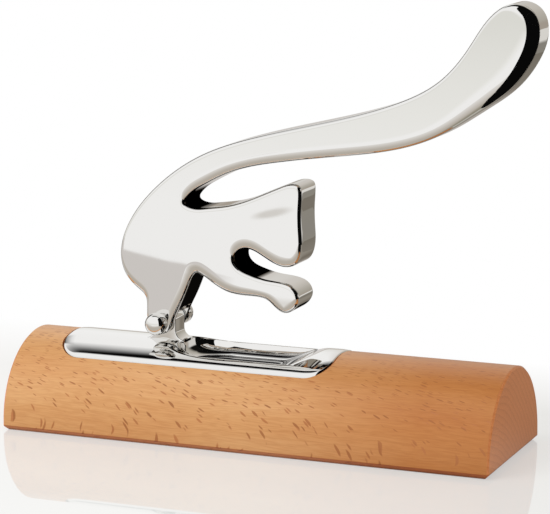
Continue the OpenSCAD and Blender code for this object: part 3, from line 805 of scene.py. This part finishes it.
def turn_share(t, x, y):
    """Share of a full turn about Z, from the back (0) by the left (1/4), the front (1/2) and the
    right (3/4) to the back again (1)."""
    front = add(t, "Math", {0: y, 1: -1.0}, operation="MULTIPLY")
    angle = add(t, "Math", {0: x, 1: front.outputs[0]}, operation="ARCTAN2")
    return add(
        t, "Math", {0: angle.outputs[0], 1: 0.5 / math.pi, 2: 0.5}, operation="MULTIPLY_ADD"
    ).outputs[0]


def studio_world():
    """White to the camera and an even soft white to matt surfaces. Gloss sees a studio: a white
    tent in front, on the left and low behind, black on the right, and a black gap overhead and
    behind, which is what draws the crisp dark lines on the chrome."""
    world = bpy.data.worlds.new("studio")
    world.use_nodes = True
    bpy.context.scene.world = world
    t = world.node_tree
    t.nodes.clear()
    look = add(t, "SeparateXYZ", {0: add(t, "TexCoord").outputs["Generated"]})
    x, y, z = look.outputs
    around = turn_share(t, x, y)
    # the tent's right-hand edge leans over to the right as it rises
    rise = add(t, "MapRange", {"Value": z, "From Min": 0.7, "To Max": 0.125})
    half = add(t, "Math", {0: around, 1: 0.5}, operation="GREATER_THAN")
    lean = add(t, "Math", {0: rise.outputs[0], 1: half.outputs[0]}, operation="MULTIPLY")
    place = add(t, "Math", {0: around, 1: lean.outputs[0]}, operation="SUBTRACT")
    ring = add(
        t,
        "ValToRGB",
        {0: place.outputs[0]},
        stops=(
            (0.0, "#DAD5CE"),
            (0.045, "#E6E2DE"),
            (0.068, "#FFFFFF"),
            (0.634, "#FFFFFF"),
            (0.648, "#0E0D0C"),
            (0.86, "#141312"),
            (0.90, "#B0ABA1"),
            (0.955, "#C9C4BC"),
            (1.0, "#DAD5CE"),
        ),
    ).outputs[0]
    # the tent greys a little towards the horizon in front
    climb = add(t, "MapRange", {"Value": z, "From Min": 0.0, "From Max": 0.35})
    foot = add(
        t, "ValToRGB", {0: climb.outputs[0]}, stops=((0.0, "#EAEAE5"), (1.0, "#FFFFFF"))
    ).outputs[0]
    ring = add(
        t, "Mix", {0: 1.0, 6: ring, 7: foot}, data_type="RGBA", blend_type="MULTIPLY"
    ).outputs[2]
    # the right-hand dark starts above the skirting
    skirt = add(t, "ValToRGB", {0: z}, stops=((0.20, "#DCDAD6"), (0.32, "#000000"))).outputs[0]
    reach = add(t, "MapRange", {"Value": around, "From Min": 0.90, "From Max": 0.86})
    ring = add(
        t,
        "Mix",
        {0: reach.outputs[0], 6: ring, 7: skirt},
        data_type="RGBA",
        blend_type="LIGHTEN",
    ).outputs[2]
    # on the left the front tent and the back one leave a seam, darker higher up
    left = add(t, "MapRange", {"Value": x, "From Min": -0.45, "From Max": -0.6})
    begin = add(t, "MapRange", {"Value": y, "From Min": 0.34, "From Max": 0.40})
    finish = add(t, "MapRange", {"Value": y, "From Min": 0.72, "From Max": 0.66})
    seam = add(t, "Math", {0: begin.outputs[0], 1: finish.outputs[0]}, operation="MULTIPLY")
    seam = add(t, "Math", {0: seam.outputs[0], 1: left.outputs[0]}, operation="MULTIPLY")
    dusk = add(
        t, "ValToRGB", {0: z}, stops=((0.0, "#5A564F"), (0.25, "#4A463F"), (0.5, "#24221F"))
    ).outputs[0]
    ring = add(t, "Mix", {0: seam.outputs[0], 6: ring, 7: dusk}, data_type="RGBA").outputs[2]
    # a brownish line of horizon behind
    horizon = add(t, "MapRange", {"Value": z, "From Min": 0.10, "From Max": 0.04})
    rear = add(t, "MapRange", {"Value": y, "From Min": 0.25, "From Max": 0.4})
    low = add(t, "Math", {0: horizon.outputs[0], 1: rear.outputs[0]}, operation="MULTIPLY")
    ring = add(
        t, "Mix", {0: low.outputs[0], 6: ring, 7: linear("#B4ABA0")}, data_type="RGBA"
    ).outputs[2]
    high = add(t, "MapRange", {"Value": z, "From Min": 0.75, "From Max": 0.90})
    behind = add(t, "MapRange", {"Value": y, "From Min": -0.06, "From Max": 0.0})
    gap = add(t, "Math", {0: high.outputs[0], 1: behind.outputs[0]}, operation="MULTIPLY")
    tone = add(
        t, "Mix", {0: gap.outputs[0], 6: ring, 7: linear("#0A0A0A")}, data_type="RGBA"
    ).outputs[2]
    path = add(t, "LightPath")
    tent = add(t, "Background", {"Color": tone, "Strength": 1.0})
    even = add(t, "Background", {"Color": linear("#FFFFFF"), "Strength": 0.56})
    white = add(t, "Background", {"Color": linear("#FFFFFF"), "Strength": 1.0})
    lit = add(
        t, "MixShader", {0: path.outputs["Is Glossy Ray"], 1: even.outputs[0], 2: tent.outputs[0]}
    )
    both = add(
        t, "MixShader", {0: path.outputs["Is Camera Ray"], 1: lit.outputs[0], 2: white.outputs[0]}
    )
    add(t, "OutputWorld", {"Surface": both.outputs[0]})


def floor_board():
    """A white glossy board with a faint reflection and the object's shadow. In the chrome it is
    grey with painted shade near the object and white farther off, and dark behind it and to the
    right."""
    bpy.ops.mesh.primitive_plane_add(size=8.0, location=(0.0, 0.0, 0.0))
    board = bpy.context.object
    board.name = "floor"
    m, t, _, out = finish_of("floor board", {"Base Color": linear("#F2F1EF"), "Roughness": 0.5})
    place = add(t, "TexCoord").outputs["Object"]
    x, y, _ = add(t, "SeparateXYZ", {0: place}).outputs
    far = add(t, "VectorMath", {0: place}, operation="LENGTH").outputs["Value"]
    # in front and to the left, the painted shade ends in a straight edge, and the board greys far
    # off
    skew = add(t, "Math", {0: x, 1: -0.63, 2: y}, operation="MULTIPLY_ADD")
    edge = add(t, "MapRange", {"Value": skew.outputs[0], "From Min": -0.247, "From Max": -0.252})
    slant = add(t, "Math", {0: y, 1: -0.4, 2: x}, operation="MULTIPLY_ADD")
    beside = add(t, "MapRange", {"Value": slant.outputs[0], "From Min": -0.035, "From Max": -0.015})
    bare = add(t, "Math", {0: edge.outputs[0], 1: beside.outputs[0]}, operation="MAXIMUM")
    near = add(
        t, "ValToRGB", {0: bare.outputs[0]}, stops=((0.0, "#D8D4D1"), (1.0, "#FFFFFF"))
    ).outputs[0]
    # to the right of that edge the painted shade only darkens it close to the block
    close = add(t, "MapRange", {"Value": y, "From Min": -0.10, "From Max": -0.34})
    under = add(
        t,
        "ValToRGB",
        {0: close.outputs[0]},
        stops=((0.0, "#C0B9AF"), (0.5, "#DEDAD5"), (0.80, "#EBE9E6"), (0.86, "#FFFFFF")),
    ).outputs[0]
    front = add(t, "Math", {0: y, 1: -0.02}, operation="LESS_THAN")
    near = add(
        t, "Mix", {0: front.outputs[0], 6: near, 7: under}, data_type="RGBA", blend_type="DARKEN"
    ).outputs[2]
    away = add(t, "MapRange", {"Value": y, "From Min": -0.6, "From Max": -2.0})
    distant = add(
        t,
        "ValToRGB",
        {0: away.outputs[0]},
        stops=((0.0, "#FFFFFF"), (0.35, "#F7F7F4"), (1.0, "#EAEAE5")),
    ).outputs[0]
    near = add(
        t, "Mix", {0: 1.0, 6: near, 7: distant}, data_type="RGBA", blend_type="MULTIPLY"
    ).outputs[2]
    spot = add(t, "Mapping", {"Vector": place, "Location": (0.220, 0.569, 0.0)}).outputs[0]
    spot = add(t, "VectorMath", {0: spot, 1: (1.0, 0.36, 1.0)}, operation="MULTIPLY")
    spot = add(t, "VectorMath", {0: spot.outputs[0]}, operation="LENGTH").outputs["Value"]
    spot = add(t, "MapRange", {"Value": spot, "From Min": 0.006, "From Max": 0.012})
    faint = add(
        t, "ValToRGB", {0: spot.outputs[0]}, stops=((0.0, "#DFDCD8"), (1.0, "#FFFFFF"))
    ).outputs[0]
    near = add(
        t, "Mix", {0: 1.0, 6: near, 7: faint}, data_type="RGBA", blend_type="MULTIPLY"
    ).outputs[2]
    sector = add(
        t,
        "ValToRGB",
        {0: turn_share(t, x, y)},
        stops=(
            (0.0, "#B8B3AC"),
            (0.02, "#E0DDD8"),
            (0.04, "#FFFFFF"),
            (0.12, "#FFFFFF"),
            (0.13, "#5A564F"),
            (0.18, "#5A564F"),
            (0.19, "#FFFFFF"),
            (0.64, "#FFFFFF"),
            (0.68, "#D0D0C8"),
            (0.76, "#C0BEB6"),
            (0.82, "#9A948A"),
            (0.97, "#9A948A"),
            (1.0, "#B8B3AC"),
        ),
    ).outputs[0]
    seen = add(
        t, "Mix", {0: 1.0, 6: near, 7: sector}, data_type="RGBA", blend_type="MULTIPLY"
    ).outputs[2]
    # bands across the board, far behind on the right
    skew = add(t, "Math", {0: y, 1: 0.1, 2: x}, operation="MULTIPLY_ADD")
    level = add(t, "MapRange", {"Value": skew.outputs[0], "From Min": 0.12, "From Max": 0.56})
    bands = add(
        t,
        "ValToRGB",
        {0: level.outputs[0]},
        stops=(
            (0.0, "#8C867D"),
            (0.325, "#827C72"),
            (0.34, "#97938A"),
            (0.60, "#95918A"),
            (0.75, "#EFEDE9"),
        ),
    ).outputs[0]
    beyond = add(t, "Math", {0: y, 1: 0.25}, operation="GREATER_THAN")
    rightward = add(t, "Math", {0: x, 1: 0.06}, operation="GREATER_THAN")
    banded = add(t, "Math", {0: beyond.outputs[0], 1: rightward.outputs[0]}, operation="MULTIPLY")
    seen = add(t, "Mix", {0: banded.outputs[0], 6: seen, 7: bands}, data_type="RGBA").outputs[2]
    # the board ends 0.42 m off on the right
    gone = add(t, "MapRange", {"Value": far, "From Min": 0.40, "From Max": 0.43})
    right = add(
        t,
        "ValToRGB",
        {0: turn_share(t, x, y)},
        stops=((0.62, "#000000"), (0.65, "#FFFFFF"), (0.86, "#FFFFFF"), (0.9, "#000000")),
    ).outputs[0]
    dark = add(t, "Math", {0: gone.outputs[0], 1: right}, operation="MULTIPLY")
    seen = add(
        t, "Mix", {0: dark.outputs[0], 6: seen, 7: linear("#12110F")}, data_type="RGBA"
    ).outputs[2]
    # painted shade: the board low behind the object is dark in the chrome, for the object's own
    # dark back and its shadow
    patch = add(t, "Mapping", {"Vector": place, "Location": (0.035, -0.140, 0.0)}).outputs[0]
    reach = add(t, "VectorMath", {0: patch}, operation="LENGTH").outputs["Value"]
    clear = add(t, "MapRange", {"Value": reach, "From Min": 0.040, "From Max": 0.048})
    seen = add(
        t, "Mix", {0: clear.outputs[0], 6: linear("#0C0B0A"), 7: seen}, data_type="RGBA"
    ).outputs[2]
    mirror = add(t, "Emission", {"Color": seen, "Strength": 1.0})
    # to the camera: its own white with a soft shadow, under a gloss that grows at low angles
    gloss = add(t, "BsdfGlossy", {"Color": linear("#FFF6F5"), "Roughness": 0.0})
    plain = add(t, "BsdfDiffuse", {"Color": linear("#F6F5F3")})
    lift = add(t, "Emission", {"Color": linear("#F4F8F6"), "Strength": 1.0})
    base = add(t, "MixShader", {0: 0.72, 1: plain.outputs[0], 2: lift.outputs[0]})
    graze = add(t, "Fresnel", {"IOR": 1.55})
    shown = add(t, "MixShader", {0: graze.outputs[0], 1: base.outputs[0], 2: gloss.outputs[0]})
    # the board fades into the white backdrop
    fade = add(t, "MapRange", {"Value": far, "From Min": 0.20, "From Max": 0.45})
    rearward = add(t, "MapRange", {"Value": y, "From Min": 0.08, "From Max": 0.18})
    fade = add(t, "Math", {0: fade.outputs[0], 1: rearward.outputs[0]}, operation="MAXIMUM")
    white = add(t, "Emission", {"Color": linear("#FFFFFF"), "Strength": 1.0})
    shown = add(t, "MixShader", {0: fade.outputs[0], 1: shown.outputs[0], 2: white.outputs[0]})
    path = add(t, "LightPath")
    both = add(
        t,
        "MixShader",
        {0: path.outputs["Is Camera Ray"], 1: plain.outputs[0], 2: shown.outputs[0]},
    )
    both = add(
        t,
        "MixShader",
        {0: path.outputs["Is Glossy Ray"], 1: both.outputs[0], 2: mirror.outputs[0]},
    )
    t.links.new(both.outputs[0], out.inputs["Surface"])
    board.data.materials.append(m)


def black_card(x, front, rear, top):
    """A black card that stands on the right, just past the base. Only gloss that isn't perfectly
    sharp, as the floor's is, sees it, and only its left side is black."""
    corners = [(x, front, 0.0), (x, rear, 0.0), (x, rear, top), (x, front, top)]
    mesh = bpy.data.meshes.new("side_card")
    mesh.from_pydata(corners, [], [(0, 3, 2, 1)])
    card = bpy.data.objects.new("side_card", mesh)
    bpy.context.scene.collection.objects.link(card)
    card.visible_camera = card.visible_diffuse = card.visible_shadow = False
    m, t, _, out = finish_of("black card", {})
    black = add(t, "Emission", {"Color": linear("#0A0A0A"), "Strength": 1.0})
    clear = add(t, "BsdfTransparent")
    right = add(t, "NewGeometry").outputs["Backfacing"]
    sharp = add(t, "LightPath").outputs["Is Singular Ray"]
    unseen = add(t, "Math", {0: right, 1: sharp}, operation="MAXIMUM").outputs[0]
    both = add(t, "MixShader", {0: unseen, 1: black.outputs[0], 2: clear.outputs[0]})
    t.links.new(both.outputs[0], out.inputs["Surface"])
    mesh.materials.append(m)


def soft_lamp(where, aim, wide, watts):
    """A square soft box at where, in metres, pointed at aim."""
    data = bpy.data.lights.new("soft box", "AREA")
    data.size = wide
    data.energy = watts
    lamp = bpy.data.objects.new("soft box", data)
    bpy.context.scene.collection.objects.link(lamp)
    lamp.location = where
    way = Vector(aim) - Vector(where)
    lamp.rotation_euler = way.to_track_quat("-Z", "Y").to_euler()
    return lamp


studio_world()
floor_board()
black_card(0.150, -0.188, 0.050, 0.50)
soft_lamp((-0.5, -0.6, 0.95), (0.0, 0.0, 0.05), 0.8, 8.5).visible_glossy = False

bpy.context.scene.view_settings.view_transform = "Standard"

# ---------------------------------------------------------------- final update

bpy.context.view_layer.update()
